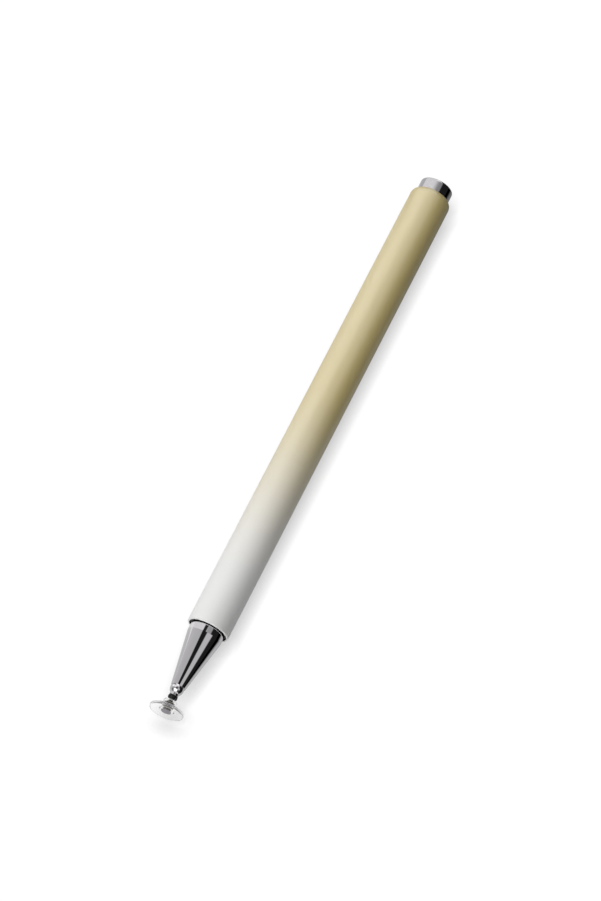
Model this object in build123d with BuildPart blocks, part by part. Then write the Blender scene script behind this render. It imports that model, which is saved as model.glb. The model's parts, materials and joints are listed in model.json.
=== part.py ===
from build123d import *
import math
import os

# Disc-tip stylus pen, lying on its side. All lengths are in millimetres and angles in degrees.
# The pen's axis runs along X, with the tip at -X and the tail at +X. The surface that the pen
# lies on is Z = 0, and the origin is under the middle of the pen's overall length.

# Barrel: a lacquered tube with a lip at the tail
barrel_diameter = 9.0
barrel_length = 109.5
barrel_wall = 0.4
barrel_mouth_bevel = 0.12
barrel_end_wall = 0.8
barrel_shoulder_length = 1.3
barrel_end_flat = 0.1

# Nose: a collar in the barrel's mouth, a cone in front of it and a threaded spigot behind it
mouth_gap = 0.45
collar_length = 1.65
cone_length = 11.85
cone_tip_diameter = 3.1
cone_wall = 0.5
cone_edge_bevel = 0.06
spigot_step = 0.15
spigot_length = 6.6

# Nose thread, right-handed
thread_pitch = 0.5
thread_depth = 0.2
thread_clearance = 0.08
thread_end_margin = 0.6

# Gasket in the collar's groove, just inside the barrel's mouth
gasket_setback = 0.2
gasket_groove_depth = 0.3
gasket_groove_lip = 0.15
gasket_width = 0.45
gasket_clearance = 0.05
gasket_edge = 0.1

# Threaded bush that is pressed into the barrel's mouth
insert_length = 8.0

# Ferrule: a dome with a short round nose that sits on the cone's tip, its shank in the cone's bore
dome_diameter = 2.9
dome_offset = 0.45
dome_nose_length = 0.4
ferrule_shank_diameter = 1.9

# Ball stud with its nut and washer
ball_diameter = 1.7
stud_neck_diameter = 0.7
stud_flange_diameter = 1.9
stud_flange_thickness = 0.08
stud_shank_diameter = 1.0
stud_end_length = 0.4
washer_thickness = 0.25
nut_across_flats = 2.5
nut_thickness = 0.8
nut_room = 0.3

# Black ring on the stud's neck
neck_ring_diameter = 2.0
neck_ring_length = 0.65
neck_ring_edge = 0.2
neck_exposed = 0.55

# Clear hub with a socket that snaps over the ball
hub_diameter = 2.8
hub_rear = 0.85
hub_base_diameter = 3.4
hub_rim_fillet = 0.12
socket_lip_diameter = 1.44
socket_mouth_diameter = 2.1
socket_floor = 0.15

# Clear disc and the pad in its face. The disc rests tipped by disc_tilt about the ball, in a
# direction that is disc_turn round the pen's axis, from straight up towards -Y.
disc_diameter = 7.2
disc_thickness = 0.55
disc_edge = 0.15
disc_tilt = 6.7
disc_turn = 48.0
pad_diameter = 2.16
pad_thickness = 0.2

# Tail plug, its magnet and the bush behind them
tail_step = 0.85
plug_protrusion = 2.8
plug_end_wall = 0.6
plug_wall = 1.12
plug_relief = 0.2
plug_edge_fillet = 0.45
magnet_length = 4.0
retainer_length = 4.0
retainer_hole_diameter = 3.0

# Gaps: a fit between pieces that stay together, and a running gap between pieces that move
fit_gap = 0.03
running_gap = 0.05

# Radii that follow from the sizes above
barrel_radius = barrel_diameter / 2
bore_radius = barrel_radius - barrel_wall
collar_radius = bore_radius - mouth_gap
groove_radius = collar_radius - gasket_groove_depth
spigot_radius = groove_radius - spigot_step
cone_tip_radius = cone_tip_diameter / 2
nut_corner_radius = nut_across_flats / math.sqrt(3)
nose_bore_radius = nut_corner_radius + nut_room
ferrule_shank_radius = ferrule_shank_diameter / 2
stud_shank_radius = stud_shank_diameter / 2
stud_flange_radius = stud_flange_diameter / 2
stud_neck_radius = stud_neck_diameter / 2
ball_radius = ball_diameter / 2
socket_radius = ball_radius + running_gap
hub_radius = hub_diameter / 2
hub_base_radius = hub_base_diameter / 2
disc_radius = disc_diameter / 2
pad_radius = pad_diameter / 2
plug_radius = barrel_radius - tail_step
magnet_radius = plug_radius - plug_wall - fit_gap

# Distances along the pen from the barrel's mouth to the ball, counted towards the tip
cone_tip_reach = collar_length + cone_length
dome_radius = dome_diameter / 2
dome_reach = cone_tip_reach + dome_offset + math.sqrt(dome_radius**2 - stud_flange_radius**2)
dome_front_reach = dome_reach + dome_nose_length
ring_rear_reach = dome_front_reach + stud_flange_thickness + running_gap
ring_front_reach = ring_rear_reach + neck_ring_length
ball_reach = ring_front_reach + neck_exposed + hub_rear

# Distances from the ball's centre to the disc's two faces
disc_back = socket_radius + socket_floor
disc_face = disc_back + disc_thickness

# The tipped disc's foremost point and the plug's end set the middle of the pen
tilt_angle = math.radians(disc_tilt)
turn_angle = math.radians(disc_turn)
disc_reach = (
    (disc_face - disc_edge) * math.cos(tilt_angle)
    + (disc_radius - disc_edge) * math.sin(abs(tilt_angle))
    + disc_edge
)
tip_reach = ball_reach + disc_reach
tail_reach = barrel_length + plug_protrusion
mouth_x = (tip_reach - tail_reach) / 2

# Places along X, from the tip to the tail
ball_x = mouth_x - ball_reach
ring_front_x = mouth_x - ring_front_reach
ring_rear_x = mouth_x - ring_rear_reach
dome_front_x = mouth_x - dome_front_reach
dome_nose_x = mouth_x - dome_reach
cone_tip_x = mouth_x - cone_tip_reach
collar_front_x = mouth_x - collar_length
barrel_end_x = mouth_x + barrel_length
plug_end_x = mouth_x + tail_reach

# The pen's own axis, and sketch planes whose x is along an axis and whose y is the radius
axis_height = barrel_radius
pen_axis = Axis((0, 0, axis_height), (1, 0, 0))
pen_plane = Plane(origin=(0, 0, axis_height), x_dir=(1, 0, 0), z_dir=(0, 1, 0))
ball_centre = (ball_x, 0, axis_height)
disc_direction = (
    math.cos(tilt_angle),
    math.sin(tilt_angle) * math.sin(turn_angle),
    -math.sin(tilt_angle) * math.cos(turn_angle),
)
tilt_direction = (0, math.cos(turn_angle), math.sin(turn_angle))
disc_axis = Axis(ball_centre, disc_direction)
disc_plane = Plane(origin=ball_centre, x_dir=disc_direction, z_dir=tilt_direction)

os.makedirs("parts", exist_ok=True)

# Barrel tube: a plain bore, a bevelled mouth, and at the tail a rounded shoulder with a hole
plug_hole_radius = plug_radius + running_gap
end_wall_x = barrel_end_x - barrel_end_wall
shoulder_x = barrel_end_x - barrel_shoulder_length
shoulder_end_radius = plug_hole_radius + barrel_end_flat
with BuildPart() as barrel_tube:
    with BuildSketch(pen_plane):
        with BuildLine():
            Polyline(
                (barrel_end_x, shoulder_end_radius),
                (barrel_end_x, plug_hole_radius),
                (end_wall_x, plug_hole_radius),
                (end_wall_x, bore_radius),
                (mouth_x, bore_radius),
                (mouth_x, barrel_radius),
                (shoulder_x, barrel_radius),
            )
            TangentArc(
                (shoulder_x, barrel_radius),
                (barrel_end_x, shoulder_end_radius),
                tangent=(1, 0),
            )
        make_face()
    revolve(axis=pen_axis)
    mouth_edge = barrel_tube.faces().sort_by(Axis.X)[0].edges().sort_by(SortBy.RADIUS)[-1]
    chamfer(mouth_edge, length=min(barrel_mouth_bevel, 0.9 * barrel_wall))
barrel_tube.part.label = "barrel_tube"
export_step(barrel_tube.part, "parts/barrel_tube.step")

# Gasket's groove and the collar's rear shoulder, just inside the mouth
groove_front_x = mouth_x + gasket_setback
groove_width = gasket_width + 2 * gasket_clearance
groove_rear_x = groove_front_x + groove_width
collar_rear_x = groove_rear_x + gasket_groove_lip
spigot_end_x = collar_rear_x + spigot_length

# Thread grooves: diamonds centred on a thread's crest, one for each pitch
thread_start_x = collar_rear_x + thread_end_margin
thread_turns = int((spigot_length - 2 * thread_end_margin) / thread_pitch) + 1
thread_xs = [thread_start_x + turn * thread_pitch for turn in range(thread_turns)]
thread_diamond = thread_depth * math.sqrt(2)

# Front insert: a bush that is pressed into the barrel and carries the nose's thread
insert_front_x = collar_rear_x + running_gap
insert_end_x = insert_front_x + insert_length
insert_radius = bore_radius - fit_gap
insert_bore_radius = spigot_radius + thread_clearance
with BuildPart() as front_insert:
    with BuildSketch(pen_plane):
        with BuildLine():
            Polyline(
                (insert_front_x, insert_bore_radius),
                (insert_front_x, insert_radius),
                (insert_end_x, insert_radius),
                (insert_end_x, insert_bore_radius),
                close=True,
            )
        make_face()
        with Locations(*[(x, insert_bore_radius) for x in thread_xs]):
            Rectangle(thread_diamond, thread_diamond, rotation=45, mode=Mode.SUBTRACT)
    revolve(axis=pen_axis)
front_insert.part.label = "front_insert"
export_step(front_insert.part, "parts/front_insert.step")

# Nose gasket: a rounded rubber ring in the collar's groove, almost filling the mouth
gasket_front_x = groove_front_x + gasket_clearance
gasket_rear_x = gasket_front_x + gasket_width
gasket_inner_radius = groove_radius + gasket_clearance
gasket_outer_radius = bore_radius - gasket_clearance
with BuildPart() as nose_gasket:
    with BuildSketch(pen_plane):
        with BuildLine():
            Polyline(
                (gasket_front_x, gasket_inner_radius),
                (gasket_front_x, gasket_outer_radius),
                (gasket_rear_x, gasket_outer_radius),
                (gasket_rear_x, gasket_inner_radius),
                close=True,
            )
        make_face()
    revolve(axis=pen_axis)
    fillet(nose_gasket.edges(), radius=min(gasket_edge, 0.4 * gasket_width))
nose_gasket.part.label = "nose_gasket"
export_step(nose_gasket.part, "parts/nose_gasket.step")

# Nose cone: the nut's bore runs forward until only the cone's wall is left round it
cone_slope = (collar_radius - cone_tip_radius) / cone_length
nut_seat_x = cone_tip_x + (nose_bore_radius + cone_wall - cone_tip_radius) / cone_slope
ferrule_bore_radius = ferrule_shank_radius + fit_gap
with BuildPart() as nose_cone:
    with BuildSketch(pen_plane):
        with BuildLine():
            Polyline(
                (cone_tip_x, ferrule_bore_radius),
                (cone_tip_x, cone_tip_radius - cone_edge_bevel),
                (cone_tip_x + cone_edge_bevel, cone_tip_radius),
                (collar_front_x, collar_radius),
                (groove_front_x, collar_radius),
                (groove_front_x, groove_radius),
                (groove_rear_x, groove_radius),
                (groove_rear_x, collar_radius),
                (collar_rear_x, collar_radius),
                (collar_rear_x, spigot_radius),
                (spigot_end_x, spigot_radius),
                (spigot_end_x, nose_bore_radius),
                (nut_seat_x, nose_bore_radius),
                (nut_seat_x, ferrule_bore_radius),
                close=True,
            )
        make_face()
        with Locations(*[(x, spigot_radius) for x in thread_xs]):
            Rectangle(thread_diamond, thread_diamond, rotation=45, mode=Mode.SUBTRACT)
    revolve(axis=pen_axis)
nose_cone.part.label = "nose_cone"
export_step(nose_cone.part, "parts/nose_cone.step")

# Tip ferrule: the dome rests on the cone's rim, and its shank stops short of the washer
dome_centre_x = cone_tip_x - dome_offset
dome_base_radius = math.sqrt(dome_radius**2 - dome_offset**2)
ferrule_end_x = nut_seat_x - fit_gap
stud_bore_radius = stud_shank_radius + fit_gap
with BuildPart() as tip_ferrule:
    with BuildSketch(pen_plane):
        with BuildLine():
            Polyline(
                (cone_tip_x, dome_base_radius),
                (cone_tip_x, ferrule_shank_radius),
                (ferrule_end_x, ferrule_shank_radius),
                (ferrule_end_x, stud_bore_radius),
                (dome_front_x, stud_bore_radius),
                (dome_front_x, stud_flange_radius),
                (dome_nose_x, stud_flange_radius),
            )
            ThreePointArc(
                (dome_nose_x, stud_flange_radius),
                (dome_centre_x, dome_radius),
                (cone_tip_x, dome_base_radius),
            )
        make_face()
    revolve(axis=pen_axis)
tip_ferrule.part.label = "tip_ferrule"
export_step(tip_ferrule.part, "parts/tip_ferrule.step")

# Washer and nut behind the cone's seat
washer_end_x = nut_seat_x + washer_thickness
nut_end_x = washer_end_x + nut_thickness
washer_radius = nose_bore_radius - running_gap
with BuildPart() as stud_washer:
    with BuildSketch(Plane(origin=(nut_seat_x, 0, axis_height), z_dir=(1, 0, 0))):
        Circle(washer_radius)
        Circle(stud_bore_radius, mode=Mode.SUBTRACT)
    extrude(amount=washer_thickness)
stud_washer.part.label = "stud_washer"
export_step(stud_washer.part, "parts/stud_washer.step")

with BuildPart() as stud_nut:
    with BuildSketch(Plane(origin=(washer_end_x, 0, axis_height), z_dir=(1, 0, 0))):
        RegularPolygon(radius=nut_across_flats / 2, side_count=6, major_radius=False)
        Circle(stud_bore_radius, mode=Mode.SUBTRACT)
    extrude(amount=nut_thickness)
stud_nut.part.label = "stud_nut"
export_step(stud_nut.part, "parts/stud_nut.step")

# Ball stud: the ball, its neck, the flange that bears on the dome, and the shank to the nut
stud_end_x = nut_end_x + stud_end_length
flange_front_x = dome_front_x - stud_flange_thickness
ball_join_x = ball_x + math.sqrt(ball_radius**2 - stud_neck_radius**2)
with BuildPart() as ball_stud:
    with BuildSketch(pen_plane):
        with BuildLine():
            Polyline(
                (ball_x - ball_radius, 0),
                (stud_end_x, 0),
                (stud_end_x, stud_shank_radius),
                (dome_front_x, stud_shank_radius),
                (dome_front_x, stud_flange_radius),
                (flange_front_x, stud_flange_radius),
                (flange_front_x, stud_neck_radius),
                (ball_join_x, stud_neck_radius),
            )
            ThreePointArc(
                (ball_join_x, stud_neck_radius),
                (ball_x, ball_radius),
                (ball_x - ball_radius, 0),
            )
        make_face()
    revolve(axis=pen_axis)
ball_stud.part.label = "ball_stud"
export_step(ball_stud.part, "parts/ball_stud.step")

# Neck ring: a soft black ring that turns on the stud's neck
ring_hole_radius = stud_neck_radius + running_gap
with BuildPart() as neck_ring:
    with BuildSketch(pen_plane):
        with BuildLine():
            Polyline(
                (ring_front_x, ring_hole_radius),
                (ring_front_x, neck_ring_diameter / 2),
                (ring_rear_x, neck_ring_diameter / 2),
                (ring_rear_x, ring_hole_radius),
                close=True,
            )
        make_face()
    revolve(axis=pen_axis)
    ring_edges = neck_ring.edges().filter_by(GeomType.CIRCLE).group_by(SortBy.RADIUS)[-1]
    fillet(ring_edges, radius=min(neck_ring_edge, 0.4 * neck_ring_length))
neck_ring.part.label = "neck_ring"
export_step(neck_ring.part, "parts/neck_ring.step")

# Disc hub: measured from the ball's centre along the disc's own axis, the tail side positive.
# The socket's mouth flares outwards so that the stud's neck has room when the disc tilts.
lip_x = math.sqrt(socket_radius**2 - (socket_lip_diameter / 2) ** 2)
flare = hub_base_radius - hub_radius
flare_start_x = flare - disc_back
flare_middle = flare * math.sqrt(0.5)
with BuildPart() as disc_hub:
    with BuildSketch(disc_plane):
        with BuildLine():
            Polyline(
                (lip_x, socket_lip_diameter / 2),
                (hub_rear, socket_mouth_diameter / 2),
                (hub_rear, hub_radius),
                (flare_start_x, hub_radius),
            )
            ThreePointArc(
                (flare_start_x, hub_radius),
                (flare_start_x - flare_middle, hub_base_radius - flare_middle),
                (-disc_back, hub_base_radius),
            )
            Polyline(
                (-disc_back, hub_base_radius),
                (-disc_back, 0),
                (-socket_radius, 0),
            )
            ThreePointArc(
                (-socket_radius, 0),
                (0, socket_radius),
                (lip_x, socket_lip_diameter / 2),
            )
        make_face()
    revolve(axis=disc_axis)
    rim_edges = disc_hub.edges().filter_by(GeomType.CIRCLE).group_by(disc_axis)[-1]
    rim_width = hub_radius - socket_mouth_diameter / 2
    fillet(rim_edges.sort_by(SortBy.RADIUS)[-1], radius=min(hub_rim_fillet, 0.8 * rim_width))
disc_hub.part.label = "disc_hub"
export_step(disc_hub.part, "parts/disc_hub.step")

# Touch disc: a clear plate against the hub's base, with a shallow pocket for the pad
pocket_floor = disc_face - pad_thickness
pocket_radius = pad_radius + fit_gap
with BuildPart() as touch_disc:
    with BuildSketch(disc_plane):
        with BuildLine():
            Polyline(
                (-disc_back, 0),
                (-disc_back, disc_radius),
                (-disc_face, disc_radius),
                (-disc_face, pocket_radius),
                (-pocket_floor, pocket_radius),
                (-pocket_floor, 0),
                close=True,
            )
        make_face()
    revolve(axis=disc_axis)
    disc_edges = touch_disc.edges().filter_by(GeomType.CIRCLE).group_by(SortBy.RADIUS)[-1]
    fillet(disc_edges, radius=min(disc_edge, 0.45 * disc_thickness))
touch_disc.part.label = "touch_disc"
export_step(touch_disc.part, "parts/touch_disc.step")

# Contact pad: flush with the disc's face
with BuildPart() as contact_pad:
    with BuildSketch(disc_plane):
        with BuildLine():
            Polyline(
                (-disc_face, 0),
                (-disc_face, pad_radius),
                (-pocket_floor, pad_radius),
                (-pocket_floor, 0),
                close=True,
            )
        make_face()
    revolve(axis=disc_axis)
contact_pad.part.label = "contact_pad"
export_step(contact_pad.part, "parts/contact_pad.step")

# Tail plug: a cup whose flange bears on the inside of the barrel's lip. An undercut next to
# the flange leaves the plug's full diameter to start at the barrel's end.
cup_floor_x = plug_end_x - plug_end_wall
cup_radius = magnet_radius + fit_gap
magnet_end_x = cup_floor_x - fit_gap
magnet_front_x = magnet_end_x - magnet_length
plug_front_x = magnet_front_x - fit_gap
flange_rear_x = end_wall_x - fit_gap
flange_radius = bore_radius - fit_gap
with BuildPart() as tail_plug:
    with BuildSketch(pen_plane):
        with BuildLine():
            Polyline(
                (plug_front_x, cup_radius),
                (plug_front_x, flange_radius),
                (flange_rear_x, flange_radius),
                (flange_rear_x, plug_radius - plug_relief),
                (barrel_end_x, plug_radius - plug_relief),
                (barrel_end_x, plug_radius),
                (plug_end_x, plug_radius),
                (plug_end_x, 0),
                (cup_floor_x, 0),
                (cup_floor_x, cup_radius),
                close=True,
            )
        make_face()
    revolve(axis=pen_axis)
    plug_edge = tail_plug.faces().sort_by(Axis.X)[-1].edges()
    fillet(plug_edge, radius=min(plug_edge_fillet, 0.9 * plug_protrusion))
tail_plug.part.label = "tail_plug"
export_step(tail_plug.part, "parts/tail_plug.step")

# Tail magnet, at the bottom of the plug's cup
with BuildPart() as tail_magnet:
    with BuildSketch(Plane(origin=(magnet_front_x, 0, axis_height), z_dir=(1, 0, 0))):
        Circle(magnet_radius)
    extrude(amount=magnet_length)
tail_magnet.part.label = "tail_magnet"
export_step(tail_magnet.part, "parts/tail_magnet.step")

# Tail retainer: a bush that is pressed into the barrel and holds the plug and the magnet
retainer_end_x = plug_front_x - fit_gap
retainer_front_x = retainer_end_x - retainer_length
with BuildPart() as tail_retainer:
    with BuildSketch(Plane(origin=(retainer_front_x, 0, axis_height), z_dir=(1, 0, 0))):
        Circle(bore_radius - fit_gap)
        Circle(retainer_hole_diameter / 2, mode=Mode.SUBTRACT)
    extrude(amount=retainer_length)
tail_retainer.part.label = "tail_retainer"
export_step(tail_retainer.part, "parts/tail_retainer.step")
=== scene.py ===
import json
import math

import bmesh
import bpy
from mathutils import Matrix, Vector


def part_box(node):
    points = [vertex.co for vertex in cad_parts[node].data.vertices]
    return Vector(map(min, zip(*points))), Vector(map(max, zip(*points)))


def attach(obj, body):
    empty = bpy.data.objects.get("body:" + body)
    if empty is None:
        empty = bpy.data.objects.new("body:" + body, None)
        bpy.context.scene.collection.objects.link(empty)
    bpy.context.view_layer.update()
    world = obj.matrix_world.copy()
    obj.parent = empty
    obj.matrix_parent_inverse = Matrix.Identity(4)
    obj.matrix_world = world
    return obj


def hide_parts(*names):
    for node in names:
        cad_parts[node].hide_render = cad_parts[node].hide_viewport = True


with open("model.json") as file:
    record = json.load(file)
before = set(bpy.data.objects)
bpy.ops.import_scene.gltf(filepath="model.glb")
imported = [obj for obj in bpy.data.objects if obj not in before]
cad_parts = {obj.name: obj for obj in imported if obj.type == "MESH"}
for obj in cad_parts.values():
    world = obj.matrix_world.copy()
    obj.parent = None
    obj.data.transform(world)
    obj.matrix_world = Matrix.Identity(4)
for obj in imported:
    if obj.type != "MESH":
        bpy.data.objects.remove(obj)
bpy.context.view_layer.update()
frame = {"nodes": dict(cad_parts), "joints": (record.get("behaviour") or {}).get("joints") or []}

# A disc-tip stylus pen, lying on its side with its tip at -X. Lengths are in metres.
MM = 0.001

# Places along the pen, and radii, from the frame
tilt_joint = next(joint for joint in frame["joints"] if joint["name"] == "disc_tilt")
tilt_axis = Vector(tilt_joint["axis"])
ball_centre = Vector(tilt_joint["pos_m"])
axis_height = ball_centre.z


def start_of(name):
    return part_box(name)[0].x


def end_of(name):
    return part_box(name)[1].x


def radius_of(name):
    return axis_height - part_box(name)[0].z


mouth = start_of("barrel_tube")
barrel_end = end_of("barrel_tube")
barrel_radius = radius_of("barrel_tube")
plug_end = end_of("tail_plug")
cone_tip = start_of("nose_cone")
spigot_end = end_of("nose_cone")
collar_radius = radius_of("nose_cone")
nut_seat = start_of("stud_washer")
dome_front = start_of("tip_ferrule")
dome_radius = radius_of("tip_ferrule")

# Barrel sizes that the frame's boxes don't give
wall = 0.4 * MM
mouth_bevel = 0.12 * MM
end_wall = 0.8 * MM
shoulder_length = 1.3 * MM
end_flat = 0.1 * MM

# Nose: the cone, its collar with the gasket's groove, and the threaded spigot
collar_length = 1.65 * MM
cone_tip_radius = 1.55 * MM
groove_setback = 0.2 * MM
groove_width = 0.55 * MM
groove_depth = 0.3 * MM
groove_gap = 0.05 * MM
gasket_edge = 0.1 * MM
collar_lip = 0.15 * MM
spigot_radius = 3.2 * MM
thread_pitch = 0.5 * MM
thread_depth = 0.2 * MM
thread_margin = 0.35 * MM
nut_across_flats = 2.5 * MM
nut_room = 0.3 * MM
nose_bore_radius = nut_across_flats / math.sqrt(3) + nut_room
ferrule_bore_radius = 0.98 * MM

# Ferrule, ball stud and neck ring
dome_offset = 0.45 * MM
ferrule_shank_radius = 0.95 * MM
stud_bore_radius = 0.53 * MM
stud_flange_radius = 0.95 * MM
stud_flange_thickness = 0.08 * MM
stud_shank_radius = 0.5 * MM
stud_neck_radius = 0.35 * MM
ball_radius = 0.85 * MM
ring_hole_radius = 0.4 * MM
ring_edge = 0.2 * MM

# Tail plug
plug_radius = 3.65 * MM
plug_hole_radius = 3.7 * MM
plug_relief = 0.2 * MM
plug_end_wall = 0.6 * MM
plug_fillet = 0.45 * MM
cup_radius = 2.53 * MM
flange_gap = 0.03 * MM

# The disc's tilt at rest: its range lies evenly about the straight disc
disc_tilt = -math.radians(sum(tilt_joint["range_deg"]) / 2)
disc_turn = math.atan2(tilt_axis.z, tilt_axis.y)

# The clear hub and disc, measured from the ball's centre along the disc's own axis. The hub overlaps
# the ball and the disc by a hair, and the disc the pad's rim, so that no film of air shows there.
clear_overlap = 0.003 * MM
socket_radius = ball_radius - clear_overlap
socket_lip_radius = 0.72 * MM
socket_mouth_radius = 1.05 * MM
hub_rear = 0.85 * MM
hub_radius = 1.4 * MM
hub_base_radius = 1.7 * MM
hub_rim_fillet = 0.12 * MM
disc_back = 1.05 * MM
disc_face = 1.6 * MM
disc_radius = 3.6 * MM
disc_edge = 0.15 * MM
matt_border = 0.35 * MM
pad_radius = 1.08 * MM
pad_thickness = 0.2 * MM
pad_seat_gap = 0.005 * MM

# Small roundings on edges that the CAD leaves sharp
fine_edge = 0.02 * MM
soft_edge = 0.05 * MM

pen_place = Matrix.Translation((0, 0, axis_height))
disc_turned = Matrix.Rotation(disc_turn, 4, "X") @ Matrix.Rotation(disc_tilt, 4, "Y")
disc_place = Matrix.Translation(ball_centre) @ disc_turned


# Turned meshes
def rounding(before, corner, after, fillet, steps):
    """Points that round a corner between two others.

    A point beside the rounding, where there is room, keeps it out of the next face's shading.
    """
    to_before = before - corner
    to_after = after - corner
    half = to_before.angle(to_after) / 2
    reach = fillet / math.tan(half)
    beside = 1.3 * reach
    room = 3 * reach
    room_before = to_before.length > room
    room_after = to_after.length > room
    to_before.normalize()
    to_after.normalize()
    centre = corner + (to_before + to_after).normalized() * fillet / math.sin(half)
    first = corner + to_before * reach - centre
    turn = math.copysign(math.pi - 2 * half, to_after.x * to_before.y - to_after.y * to_before.x)
    points = [corner + to_before * beside] if room_before else []
    for step in range(steps + 1):
        points.append(centre + Matrix.Rotation(turn * step / steps, 2) @ first)
    if room_after:
        points.append(corner + to_after * beside)
    return points


def rounded(corners, steps=6):
    """A closed outline through corners (along, radius, fillet), each corner rounded by its fillet."""
    places = [Vector((along, radius)) for along, radius, fillet in corners]
    fillets = [fillet for along, radius, fillet in corners]
    outline = []
    for index, fillet in enumerate(fillets):
        if fillet == 0:
            outline.append(places[index])
        else:
            after = places[(index + 1) % len(places)]
            outline += rounding(places[index - 1], places[index], after, fillet, steps)
    return outline


def arc(centre, radius, first_angle, last_angle, steps=24, off_axis=0.0):
    """Corners on an arc, its centre that far off the axis. An angle of 0 points to the tail."""
    corners = []
    for step in range(steps + 1):
        angle = math.radians(first_angle + (last_angle - first_angle) * step / steps)
        height = off_axis + radius * math.sin(angle)
        corners.append((centre + radius * math.cos(angle), max(height, 0), 0))
    return corners


def turned(name, outline, place, segments=192, deepen=None):
    """A closed solid turned from an outline. deepen(along, radius, angle) lowers the surface."""
    on_axis = 1e-9
    mesh = bmesh.new()
    rings = []
    for along, radius in outline:
        if radius < on_axis:
            rings.append([mesh.verts.new((along, 0, 0))] * segments)
            continue
        ring = []
        for segment in range(segments):
            angle = 2 * math.pi * segment / segments
            depth = deepen(along, radius, angle) if deepen else 0
            across = (radius - depth) * math.cos(angle)
            up = (radius - depth) * math.sin(angle)
            ring.append(mesh.verts.new((along, across, up)))
        rings.append(ring)
    for index, ring in enumerate(rings):
        last = rings[index - 1]
        for segment in range(segments):
            after = (segment + 1) % segments
            corners = [last[segment], last[after], ring[after], ring[segment]]
            corners = list(dict.fromkeys(corners))
            if len(corners) > 2:
                mesh.faces.new(corners)
    bmesh.ops.recalc_face_normals(mesh, faces=mesh.faces)
    bmesh.ops.transform(mesh, matrix=place, verts=mesh.verts)
    finish_shading(mesh)
    data = bpy.data.meshes.new(name)
    mesh.to_mesh(data)
    mesh.free()
    piece = bpy.data.objects.new(name, data)
    bpy.context.scene.collection.objects.link(piece)
    return piece


def finish_shading(mesh, sharp_angle=math.radians(35)):
    """Smooth faces, with hard edges where they meet at more than the sharp angle."""
    for face in mesh.faces:
        face.smooth = True
    for edge in mesh.edges:
        edge.smooth = len(edge.link_faces) == 2 and edge.calc_face_angle(0) < sharp_angle


def dress(piece, body, nodes, material):
    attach(piece, body)
    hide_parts(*nodes)
    piece.data.materials.append(material)


# Node helpers
def node(tree, kind, inputs=None, **properties):
    """A new node. inputs holds values, or sockets to link, by socket name or number."""
    made = tree.nodes.new(kind)
    for name, value in properties.items():
        setattr(made, name, value)
    for name, value in (inputs or {}).items():
        if isinstance(value, bpy.types.NodeSocket):
            tree.links.new(value, made.inputs[name])
        else:
            made.inputs[name].default_value = value
    return made


def math_node(tree, operation, first, second=0.0):
    return node(tree, "ShaderNodeMath", {0: first, 1: second}, operation=operation).outputs[0]


def product(tree, first, *factors):
    result = first
    for factor in factors:
        result = math_node(tree, "MULTIPLY", result, factor)
    return result


def map_range(tree, value, low, high, to_low=0.0, to_high=1.0, smooth=False):
    inputs = {"Value": value, "From Min": low, "From Max": high, "To Min": to_low, "To Max": to_high}
    kind = "SMOOTHSTEP" if smooth else "LINEAR"
    return node(tree, "ShaderNodeMapRange", inputs, interpolation_type=kind).outputs["Result"]


def panel(tree, value, low, high, soft):
    """1 between two values, with soft edges."""
    rise = map_range(tree, value, low - soft, low + soft, smooth=True)
    fall = map_range(tree, value, high - soft, high + soft, 1.0, 0.0, smooth=True)
    return product(tree, rise, fall)


def mix_value(tree, factor, first, second):
    """The mix node's number sockets: 0 is the factor, 2 and 3 are the values."""
    return node(tree, "ShaderNodeMix", {0: factor, 2: first, 3: second}).outputs[0]


def mix_colour(tree, factor, first, second, blend_type="MIX"):
    """The mix node's colour sockets: 0 is the factor, 6 and 7 are the colours, output 2 the result."""
    inputs = {0: factor, 6: first, 7: second}
    return node(tree, "ShaderNodeMix", inputs, data_type="RGBA", blend_type=blend_type).outputs[2]


def object_place(tree):
    return node(tree, "ShaderNodeTexCoord").outputs["Object"]


def object_axes(tree):
    return node(tree, "ShaderNodeSeparateXYZ", {0: object_place(tree)}).outputs


def noise(tree, grain, detail=2.0, place=None):
    """Noise from 0 to 1 whose grains are about that many metres across."""
    inputs = {"Vector": place or object_place(tree), "Scale": 1 / grain, "Detail": detail}
    return node(tree, "ShaderNodeTexNoise", inputs).outputs["Fac"]


def spread_noise(tree, value, to_low, to_high, spread=0.2):
    """Noise stretched over a range. Most noise lies within that spread of 0.5."""
    return map_range(tree, value, 0.5 - spread, 0.5 + spread, to_low, to_high)


def bump(tree, height, depth):
    inputs = {"Height": height, "Distance": depth, "Strength": 1.0}
    return node(tree, "ShaderNodeBump", inputs).outputs["Normal"]


def new_material(name, **values):
    """A material with a Principled shader. values are its sockets, with _ for a space."""
    material = bpy.data.materials.new(name)
    material.use_nodes = True
    shader = material.node_tree.nodes["Principled BSDF"]
    for socket, value in values.items():
        shader.inputs[socket.replace("_", " ")].default_value = value
    return material, material.node_tree, shader


def link(tree, socket, shader, name):
    tree.links.new(socket, shader.inputs[name])


def grey(level):
    return (level, level, level, 1)


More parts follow.
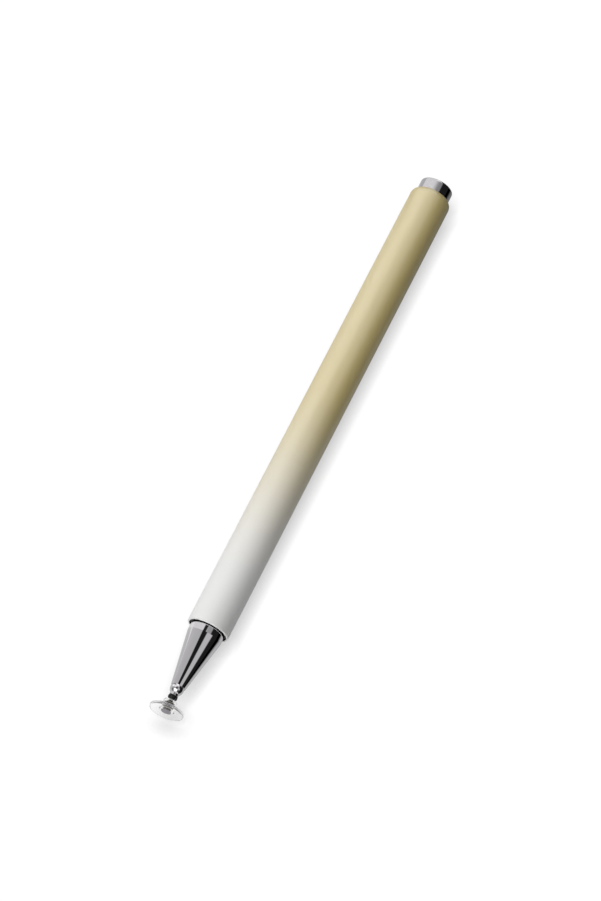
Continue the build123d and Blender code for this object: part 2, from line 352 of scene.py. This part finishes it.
# Materials
def lacquer_material():
    """Satin lacquer that fades from white at the mouth to cream, with a fine grain."""
    white = (0.88, 0.88, 0.865, 1)
    cream = (0.7, 0.565, 0.215, 1)
    white_roughness = 0.6
    cream_roughness = 0.43
    fade_start = mouth + 8 * MM
    fade_end = mouth + 60 * MM
    grain_size = 0.12 * MM
    grain_shade = 0.97
    grain_depth = 0.004 * MM
    patch_size = 1.5 * MM
    patchiness = 0.04
    material, tree, shader = new_material("satin_lacquer", IOR=3.3)
    fade = map_range(tree, object_axes(tree)["X"], fade_start, fade_end, smooth=True)
    faded = mix_colour(tree, fade, white, cream)
    grain = noise(tree, grain_size, detail=4)
    shade = spread_noise(tree, grain, grain_shade, 1.0)
    link(tree, mix_colour(tree, 1.0, faded, shade, "MULTIPLY"), shader, "Base Color")
    roughness = map_range(tree, fade, 0.0, 1.0, white_roughness, cream_roughness)
    patches = spread_noise(tree, noise(tree, patch_size), -patchiness, patchiness)
    link(tree, math_node(tree, "ADD", roughness, patches), shader, "Roughness")
    link(tree, bump(tree, grain, grain_depth), shader, "Normal")
    return material


def add_scratches(tree, shader):
    """Very fine scratches round the pen, much longer than they are wide."""
    width = 0.03 * MM
    depth = 0.0004 * MM
    squeeze = 0.05
    inputs = {"Vector": object_place(tree), "Scale": (1, squeeze, squeeze)}
    squeezed = node(tree, "ShaderNodeMapping", inputs).outputs[0]
    link(tree, bump(tree, noise(tree, width, place=squeezed), depth), shader, "Normal")


def metal_material(name, colour, smooth, rough):
    """Metal whose roughness and colour vary in soft smudges, with fine scratches."""
    smudge_size = 2 * MM
    smudge_spread = 0.15
    dullness = 0.94
    material, tree, shader = new_material(name, Metallic=1.0)
    smudges = noise(tree, smudge_size, detail=3)
    link(tree, spread_noise(tree, smudges, smooth, rough, smudge_spread), shader, "Roughness")
    dull = tuple(dullness * level for level in colour)
    link(tree, mix_colour(tree, smudges, colour + (1,), dull + (1,)), shader, "Base Color")
    add_scratches(tree, shader)
    return material


def stud_material():
    """Bright steel, with the ball coloured a dark olive."""
    bright = (0.5, 0.5, 0.49, 1)
    dark_olive = (0.1, 0.094, 0.072, 1)
    dark_edge = ball_centre.x + 0.45 * MM
    dark_blend = 0.15 * MM
    smudge_size = 0.3 * MM
    smudge_spread = 0.15
    smudge_shade = 0.85
    smooth = 0.2
    rough = 0.35
    material, tree, shader = new_material("stud_steel", Metallic=1.0)
    along = object_axes(tree)["X"]
    # The ball, up to just past its centre, is coloured dark olive; the neck and flange stay bright steel.
    ball_darkness = map_range(tree, along, dark_edge - dark_blend, dark_edge + dark_blend, 1.0, 0.0, smooth=True)
    steel_colour = mix_colour(tree, ball_darkness, bright, dark_olive)
    smudges = noise(tree, smudge_size, detail=3)
    shade = spread_noise(tree, smudges, smudge_shade, 1.0, smudge_spread)
    link(tree, mix_colour(tree, 1.0, steel_colour, shade, "MULTIPLY"), shader, "Base Color")
    link(tree, spread_noise(tree, smudges, smooth, rough, smudge_spread), shader, "Roughness")
    add_scratches(tree, shader)
    return material


def rubber_material(name, level):
    """Black rubber or nylon of that grey level, with a fine grain."""
    grain_size = 0.08 * MM
    grain_depth = 0.004 * MM
    pale_level = 1.6 * level
    smooth = 0.35
    rough = 0.55
    material, tree, shader = new_material(name, Specular_IOR_Level=0.25)
    grain = noise(tree, grain_size, detail=4)
    link(tree, mix_colour(tree, grain, grey(level), grey(pale_level)), shader, "Base Color")
    link(tree, spread_noise(tree, grain, smooth, rough), shader, "Roughness")
    link(tree, bump(tree, grain, grain_depth), shader, "Normal")
    return material


def clear_material(name, index, tint, smooth, rough):
    """Clear plastic of that index of refraction, whose tint and roughness vary in soft waves."""
    wave_size = 1.2 * MM
    pale_tint = 0.3 + 0.7 * tint
    material, tree, shader = new_material(name, Transmission_Weight=1.0, IOR=index)
    waves = noise(tree, wave_size)
    link(tree, mix_colour(tree, waves, grey(tint), grey(pale_tint)), shader, "Base Color")
    link(tree, spread_noise(tree, waves, smooth, rough), shader, "Roughness")
    return material


def pad_material():
    """Conductive film with a fine weave, its bands about 0.17 mm apart."""
    dark = (0.305, 0.29, 0.32, 1)
    pale = (0.39, 0.375, 0.41, 1)
    weave_scale = 1852
    weave_depth = 0.006 * MM
    wobble = 0.4
    material, tree, shader = new_material("pad_film", Roughness=0.5)
    threads = []
    for direction in ("Y", "Z"):
        inputs = {"Vector": object_place(tree), "Scale": weave_scale, "Distortion": wobble}
        bands = node(tree, "ShaderNodeTexWave", inputs, wave_type="BANDS", bands_direction=direction)
        threads.append(bands.outputs["Fac"])
    weave = product(tree, *threads)
    link(tree, mix_colour(tree, weave, dark, pale), shader, "Base Color")
    link(tree, bump(tree, weave, weave_depth), shader, "Normal")
    return material


chrome = metal_material("polished_chrome", (0.69, 0.675, 0.695), smooth=0.04, rough=0.08)
# Painted shade: near-black metal for the barrel's bore, standing in for the shade in the gap at its
# mouth.
painted_shade_bore = metal_material("painted_shade_bore", (0.05, 0.05, 0.05), smooth=0.35, rough=0.45)
steel = metal_material("turned_steel", (0.5, 0.5, 0.49), smooth=0.2, rough=0.35)
brass = metal_material("turned_brass", (0.72, 0.52, 0.22), smooth=0.25, rough=0.4)
nickel = metal_material("nickel_plate", (0.58, 0.56, 0.52), smooth=0.2, rough=0.35)
stud_steel = stud_material()
lacquer = lacquer_material()
rubber = rubber_material("black_rubber", level=0.008)
nylon = rubber_material("black_nylon", level=0.03)
clear = clear_material("clear_plastic", index=1.25, tint=0.95, smooth=0.01, rough=0.04)
hub_clear = clear_material("hub_plastic", index=1.35, tint=0.97, smooth=0.01, rough=0.04)
matt_clear = clear_material("matt_clear_plastic", index=1.22, tint=0.97, smooth=0.45, rough=0.55)
pad_film = pad_material()


# Pieces
def make_barrel():
    """The tube, lacquered outside, with its bore painted dark as shade."""
    bore = barrel_radius - wall
    bore_end = barrel_end - end_wall
    shoulder_drop = barrel_radius - plug_hole_radius - end_flat
    curve = (shoulder_length**2 + shoulder_drop**2) / (2 * shoulder_drop)
    shoulder_start = barrel_end - shoulder_length
    last_angle = math.degrees(math.acos(shoulder_length / curve))
    corners = [
        (mouth, bore, fine_edge),
        (mouth, barrel_radius - mouth_bevel, fine_edge),
        (mouth + mouth_bevel, barrel_radius, fine_edge),
        *arc(shoulder_start, curve, 90, last_angle, off_axis=barrel_radius - curve),
        (barrel_end, plug_hole_radius, fine_edge),
        (bore_end, plug_hole_radius, fine_edge),
        (bore_end, bore, soft_edge),
    ]
    barrel = turned("barrel", rounded(corners, steps=8), pen_place)
    dress(barrel, "barrel", ["barrel_tube"], lacquer)
    barrel.data.materials.append(painted_shade_bore)
    # Faces inside the bore take the near-black metal, painted shade for the dark gap at the mouth.
    for face in barrel.data.polygons:
        height = face.center.z - axis_height
        inside = math.hypot(face.center.y, height) < bore + fine_edge
        if inside and face.center.x < bore_end + fine_edge:
            face.material_index = 1


def make_nose():
    """The cone, collar and spigot in one, with a right-hand thread that runs out at both ends."""
    groove_front = mouth + groove_setback
    groove_rear = groove_front + groove_width
    collar_rear = groove_rear + collar_lip
    groove_radius = collar_radius - groove_depth
    steps_per_pitch = 12
    thread_start = collar_rear + thread_margin
    thread_end = spigot_end - thread_margin
    thread_length = thread_end - thread_start
    thread_steps = round(thread_length / thread_pitch * steps_per_pitch)

    def cut(along, radius, angle):
        """Depth of the thread."""
        if radius < spigot_radius - fine_edge or not thread_start < along < thread_end:
            return 0
        turn = (along - thread_start) / thread_pitch - angle / (2 * math.pi)
        flank = abs(2 * (turn % 1) - 1)
        run_out = min(along - thread_start, thread_end - along, thread_pitch) / thread_pitch
        return thread_depth * (1 - flank) * run_out

    thread = []
    for step in range(thread_steps + 1):
        thread.append((thread_start + thread_length * step / thread_steps, spigot_radius, 0))
    corners = [
        (cone_tip, ferrule_bore_radius, fine_edge),
        (cone_tip, cone_tip_radius, 2 * soft_edge),
        (mouth - collar_length, collar_radius, fine_edge),
        (groove_front, collar_radius, fine_edge),
        (groove_front, groove_radius, fine_edge),
        (groove_rear, groove_radius, fine_edge),
        (groove_rear, collar_radius, fine_edge),
        (collar_rear, collar_radius, fine_edge),
        (collar_rear, spigot_radius, fine_edge),
        *thread,
        (spigot_end, spigot_radius, soft_edge),
        (spigot_end, nose_bore_radius, soft_edge),
        (nut_seat, nose_bore_radius, soft_edge),
        (nut_seat, ferrule_bore_radius, fine_edge),
    ]
    nose = turned("nose", rounded(corners), pen_place, deepen=cut)
    dress(nose, "nose", ["nose_cone"], chrome)


def make_ring_piece(name, node_name, hole_radius, outer_edge, hole_edge, segments):
    """A rubber ring that fills its node's box, round a hole."""
    front = start_of(node_name)
    rear = end_of(node_name)
    outer = radius_of(node_name)
    corners = [
        (front, hole_radius, hole_edge),
        (front, outer, outer_edge),
        (rear, outer, outer_edge),
        (rear, hole_radius, hole_edge),
    ]
    piece = turned(name, rounded(corners), pen_place, segments)
    dress(piece, name, [node_name], rubber)


def make_gasket():
    hole_radius = collar_radius - groove_depth + groove_gap
    make_ring_piece("gasket", "nose_gasket", hole_radius, gasket_edge, gasket_edge, segments=192)


def make_ring():
    make_ring_piece("ring", "neck_ring", ring_hole_radius, ring_edge, soft_edge, segments=128)


def make_ferrule():
    """The dome in front of the cone, with its shank in the cone's bore."""
    centre = cone_tip - dome_offset
    base_angle = math.degrees(math.acos(dome_offset / dome_radius))
    front_angle = 180 - math.degrees(math.asin(stud_flange_radius / dome_radius))
    ferrule_end = end_of("tip_ferrule")
    corners = [
        (dome_front, stud_flange_radius, fine_edge),
        *arc(centre, dome_radius, front_angle, base_angle, steps=40),
        (cone_tip, ferrule_shank_radius, fine_edge),
        (ferrule_end, ferrule_shank_radius, soft_edge),
        (ferrule_end, stud_bore_radius, fine_edge),
        (dome_front, stud_bore_radius, fine_edge),
    ]
    ferrule = turned("ferrule", rounded(corners), pen_place)
    dress(ferrule, "nose", ["tip_ferrule"], chrome)


def make_stud():
    """The ball on its neck, with a flange on the dome and a shank through the ferrule."""
    neck_angle = math.degrees(math.asin(stud_neck_radius / ball_radius))
    flange_front = dome_front - stud_flange_thickness
    stud_end = end_of("ball_stud")
    corners = [
        *arc(ball_centre.x, ball_radius, 180, neck_angle, steps=40),
        (flange_front, stud_neck_radius, soft_edge),
        (flange_front, stud_flange_radius, fine_edge),
        (dome_front, stud_flange_radius, fine_edge),
        (dome_front, stud_shank_radius, fine_edge),
        (stud_end, stud_shank_radius, soft_edge),
        (stud_end, 0, 0),
    ]
    stud = turned("stud", rounded(corners), pen_place, segments=96)
    dress(stud, "nose", ["ball_stud"], stud_steel)


def matt_edges(piece, reach, front):
    """A matt finish outside that distance from the disc's axis and behind that place along it."""
    piece.data.materials.append(matt_clear)
    to_disc = disc_place.inverted()
    for face in piece.data.polygons:
        centre = to_disc @ face.center
        if math.hypot(centre.y, centre.z) > reach and centre.x > front:
            face.material_index = 1


def make_hub():
    """The clear socket round the ball, which flares out to the disc."""
    lip_angle = math.degrees(math.asin(socket_lip_radius / socket_radius))
    flare = hub_base_radius - hub_radius
    flare_steps = 12
    base = -disc_back - clear_overlap
    corners = [
        (hub_rear, socket_mouth_radius, fine_edge),
        (hub_rear, hub_radius, hub_rim_fillet),
    ]
    for step in range(flare_steps + 1):
        angle = math.pi / 2 * step / flare_steps
        along = base + flare * (1 - math.sin(angle))
        corners.append((along, hub_base_radius - flare * math.cos(angle), 0))
    corners.append((base, 0, 0))
    corners += arc(0, socket_radius, 180, lip_angle, steps=40)
    hub = turned("hub", rounded(corners), disc_place)
    dress(hub, "disc", ["disc_hub"], hub_clear)
    matt_edges(hub, socket_lip_radius, hub_rear - hub_rim_fillet)


def make_disc():
    """The clear disc, with a pocket for the pad in its face and a matt border."""
    pocket_radius = pad_radius - clear_overlap
    pocket_floor = disc_face - pad_thickness
    corners = [
        (-disc_back, 0, 0),
        (-disc_back, disc_radius, disc_edge),
        (-disc_face, disc_radius, disc_edge),
        (-disc_face, disc_radius - matt_border, 0),
        (-disc_face, pocket_radius, fine_edge),
        (-pocket_floor, pocket_radius, fine_edge),
        (-pocket_floor, 0, 0),
    ]
    disc = turned("disc", rounded(corners, steps=10), disc_place, segments=256)
    dress(disc, "disc", ["touch_disc"], clear)
    matt_edges(disc, disc_radius - matt_border, -disc_face - fine_edge)


def make_pad():
    pad_back = disc_face - pad_thickness + pad_seat_gap
    corners = [
        (-disc_face, 0, 0),
        (-disc_face, pad_radius, fine_edge),
        (-pad_back, pad_radius, fine_edge),
        (-pad_back, 0, 0),
    ]
    pad = turned("pad", rounded(corners), disc_place, segments=128)
    dress(pad, "disc", ["contact_pad"], pad_film)


def make_plug():
    """The tail plug: a cup for the magnet, with a flange inside the barrel's end wall."""
    plug_front = start_of("tail_plug")
    flange_radius = radius_of("tail_plug")
    flange_rear = barrel_end - end_wall - flange_gap
    neck_radius = plug_radius - plug_relief
    cup_floor = plug_end - plug_end_wall
    corners = [
        (plug_front, cup_radius, fine_edge),
        (plug_front, flange_radius, fine_edge),
        (flange_rear, flange_radius, fine_edge),
        (flange_rear, neck_radius, fine_edge),
        (barrel_end, neck_radius, fine_edge),
        (barrel_end, plug_radius, fine_edge),
        (plug_end, plug_radius, plug_fillet),
        (plug_end, 0, 0),
        (cup_floor, 0, 0),
        (cup_floor, cup_radius, fine_edge),
    ]
    plug = turned("plug", rounded(corners, steps=10), pen_place)
    dress(plug, "barrel", ["tail_plug"], chrome)


def finish_inner_nodes():
    """The pieces inside the pen keep their CAD shape."""
    finishes = {
        "front_insert": brass,
        "stud_washer": steel,
        "stud_nut": steel,
        "tail_magnet": nickel,
        "tail_retainer": nylon,
    }
    for name, material in finishes.items():
        mesh = frame["nodes"][name].data
        mesh.materials.clear()
        mesh.materials.append(material)


make_barrel()
make_nose()
make_gasket()
make_ferrule()
make_stud()
make_ring()
make_hub()
make_disc()
make_pad()
make_plug()
finish_inner_nodes()


# Floor
def floor_shade(tree, axes):
    """The floor's glow, softly darker where the pen stands over it, and most of all at the tip."""
    glow = 0.93
    shadow_depth = 0.55
    shadow_reach = 3.7 * MM
    tip_shadow_depth = 0.99
    tip_shadow_reach = 4.4 * MM
    light_side = Vector((0.3, 0.6, 1.0)).normalized()
    towards = node(tree, "ShaderNodeCombineXYZ", {axis: light_side[axis] for axis in range(3)}).outputs[0]
    tip_share = map_range(tree, axes["X"], ball_centre.x, mouth, 1.0, 0.0, smooth=True)
    reach = map_range(tree, tip_share, 0.0, 1.0, shadow_reach, tip_shadow_reach)
    depth = map_range(tree, tip_share, 0.0, 1.0, shadow_depth, tip_shadow_depth)
    inputs = {"Distance": reach, "Normal": towards}
    open_sky = node(tree, "ShaderNodeAmbientOcclusion", inputs, samples=4).outputs["AO"]
    darkest = product(tree, math_node(tree, "SUBTRACT", 1.0, depth), glow)
    return map_range(tree, open_sky, 0.0, 1.0, darkest, glow)


def floor_mirror(tree, axes):
    """Share of the floor's light that shows in mirrors. It falls off to the right and past the tail."""
    side = 4 * MM
    nose_blend = 4 * MM
    nose_left_level = 0.66
    nose_right_level = 0.6
    tail_right_level = 0.3
    past_tail_level = 0.55
    fade_start = 9 * MM
    fade_end = 18 * MM
    right = product(tree, axes["Y"], -1.0)
    left_level = map_range(tree, axes["X"], mouth, mouth + nose_blend, nose_left_level, 1.0)
    right_level = map_range(tree, axes["X"], mouth, barrel_end, nose_right_level, tail_right_level)
    across = map_range(tree, right, -side, side, left_level, right_level)
    far = map_range(tree, right, fade_start, fade_end, 1.0, 0.0)
    past_tail = map_range(tree, axes["X"], barrel_end, plug_end + side, 1.0, past_tail_level)
    return product(tree, across, far, past_tail)


def make_floor():
    """A white floor that glows for rays that look at it, and sends a weaker bounce to the pen."""
    size = 8
    seen_albedo = 0.12
    bounce_albedo = 0.52
    tail_bounce_albedo = 0.14
    bpy.ops.mesh.primitive_plane_add(size=size)
    floor = bpy.context.object
    floor.name = "floor"
    material = bpy.data.materials.new("floor_white")
    material.use_nodes = True
    tree = material.node_tree
    tree.nodes.clear()
    axes = object_axes(tree)
    path = node(tree, "ShaderNodeLightPath").outputs
    seen = math_node(tree, "MAXIMUM", path["Is Camera Ray"], path["Is Transmission Ray"])
    seen = math_node(tree, "MAXIMUM", seen, path["Is Glossy Ray"])
    mirrored = math_node(tree, "SUBTRACT", path["Is Glossy Ray"], path["Is Transmission Ray"])
    share = mix_value(tree, mirrored, 1.0, floor_mirror(tree, axes))
    strength = product(tree, seen, floor_shade(tree, axes), share)
    light = node(tree, "ShaderNodeEmission", {"Strength": strength}).outputs[0]
    bounce = map_range(tree, axes["X"], mouth, barrel_end, bounce_albedo, tail_bounce_albedo)
    albedo = map_range(tree, seen, 0.0, 1.0, bounce, seen_albedo)
    paper = node(tree, "ShaderNodeBsdfDiffuse", {"Color": product(tree, albedo, share)}).outputs[0]
    both = node(tree, "ShaderNodeAddShader", {0: light, 1: paper}).outputs[0]
    node(tree, "ShaderNodeOutputMaterial", {"Surface": both})
    floor.data.materials.append(material)


# Studio light. A direction has an angle about the pen's axis, in degrees from straight up to the right,
# and a share along the pen, from -1 at the tip to 1 at the tail. In the photo's view the cone mirrors
# shares from about 0 to 0.25, the collar about 0.32 and the plug about 0.45.
cone_share = 0.0
collar_share = 0.32
plug_share = 0.45


def panel_level(tree, angle, along):
    """Brightness of the panels on the left and right, which meet overhead and weaken past the tip."""
    cone_left = 0.72
    collar_left = 1.1
    tip_left = 0.35
    cone_right = 0.8
    plug_right = 0.36
    tip_right = 0.2
    meeting = 20
    left = map_range(tree, along, cone_share, collar_share, cone_left, collar_left)
    left_part = map_range(tree, along, low=-0.25, high=-0.1, to_low=tip_left)
    right = map_range(tree, along, cone_share, plug_share, cone_right, plug_right)
    right_part = map_range(tree, along, low=-0.35, high=-0.2, to_low=tip_right)
    turn = map_range(tree, angle, -meeting, meeting, smooth=True)
    return mix_value(tree, turn, product(tree, left, left_part), product(tree, right, right_part))


def panel_shape(tree, angle, along):
    """1 on the panels, and 0 past the right one's edge and in the dark gap between the two."""
    cone_edge = 54
    tail_edge = 36
    edge_soft = 4
    gap_start = -15
    cone_gap_end = 17
    tail_gap_end = 2
    gap_soft = 3
    gap_closing = 0.33
    gap_closed = 0.44
    tail_share = 0.4
    edge = map_range(tree, along, cone_share, tail_share, cone_edge, tail_edge)
    past_edge = math_node(tree, "SUBTRACT", angle, edge)
    lit = map_range(tree, past_edge, -edge_soft, edge_soft, 1.0, 0.0, smooth=True)
    gap_end = map_range(tree, along, cone_share, tail_share, cone_gap_end, tail_gap_end)
    past_gap = math_node(tree, "SUBTRACT", angle, gap_end)
    gap_fall = map_range(tree, past_gap, -gap_soft, gap_soft, 1.0, 0.0, smooth=True)
    gap_rise = map_range(tree, angle, gap_start - gap_soft, gap_start + gap_soft, smooth=True)
    gap_open = map_range(tree, along, gap_closing, gap_closed, 1.0, 0.0, smooth=True)
    gap = product(tree, gap_rise, gap_fall, gap_open)
    return product(tree, lit, math_node(tree, "SUBTRACT", 1.0, gap))


def softboxes(tree, angle, along):
    """A softbox beyond each end of the pen, and a narrow bright band on the left."""
    tail_level = 0.8
    tip_level = 3.4
    band_level = 5.5
    past_tail = map_range(tree, along, low=0.48, high=0.6, smooth=True)
    tail_box = product(tree, panel(tree, angle, low=-12, high=30, soft=6), past_tail, tail_level)
    past_tip = map_range(tree, along, low=-0.38, high=-0.23, to_low=1.0, to_high=0.0, smooth=True)
    tip_box = product(tree, panel(tree, angle, low=-42, high=20, soft=8), past_tip, tip_level)
    band = panel(tree, along, low=0.37, high=0.4, soft=0.006)
    side_band = product(tree, panel(tree, angle, low=-120, high=-20, soft=6), band, band_level)
    return math_node(tree, "ADD", math_node(tree, "ADD", tail_box, tip_box), side_band)


def make_world():
    """The studio. The camera and clear parts see white instead."""
    dark = 0.02
    world = bpy.data.worlds.new("studio")
    bpy.context.scene.world = world
    world.use_nodes = True
    tree = world.node_tree
    tree.nodes.clear()
    direction = node(tree, "ShaderNodeTexCoord").outputs["Generated"]
    axes = node(tree, "ShaderNodeSeparateXYZ", {0: direction}).outputs
    along = axes["X"]
    right = product(tree, axes["Y"], -1.0)
    angle = math_node(tree, "DEGREES", math_node(tree, "ARCTAN2", right, axes["Z"]))
    panels = product(tree, panel_level(tree, angle, along), panel_shape(tree, angle, along))
    lights = math_node(tree, "ADD", panels, softboxes(tree, angle, along))
    studio = math_node(tree, "ADD", lights, dark)
    path = node(tree, "ShaderNodeLightPath").outputs
    seen = math_node(tree, "MAXIMUM", path["Is Camera Ray"], path["Is Transmission Ray"])
    level = mix_value(tree, seen, studio, 1.0)
    background = node(tree, "ShaderNodeBackground", {"Strength": level}).outputs[0]
    node(tree, "ShaderNodeOutputWorld", {"Surface": background})


def make_camera():
    """The camera, set off from the middle of the barrel's mouth along its own three directions."""
    heading = math.radians(-64.747)
    tilt = math.radians(24.412)
    to_right = 18.7 * MM
    upwards = 36.14 * MM
    distance = 664.6 * MM
    data = bpy.data.cameras.new("camera")
    data.lens = 132
    data.sensor_width = 36
    data.clip_start = 0.01
    camera = bpy.data.objects.new("camera", data)
    turn = Matrix.Rotation(heading, 4, "Z") @ Matrix.Rotation(tilt, 4, "X")
    mouth_centre = Vector((mouth, 0, axis_height))
    offset = turn @ Vector((to_right, upwards, distance))
    camera.matrix_world = Matrix.Translation(mouth_centre + offset) @ turn
    bpy.context.scene.collection.objects.link(camera)
    bpy.context.scene.camera = camera


make_floor()
make_world()
make_camera()
bpy.context.scene.view_settings.view_transform = "Standard"
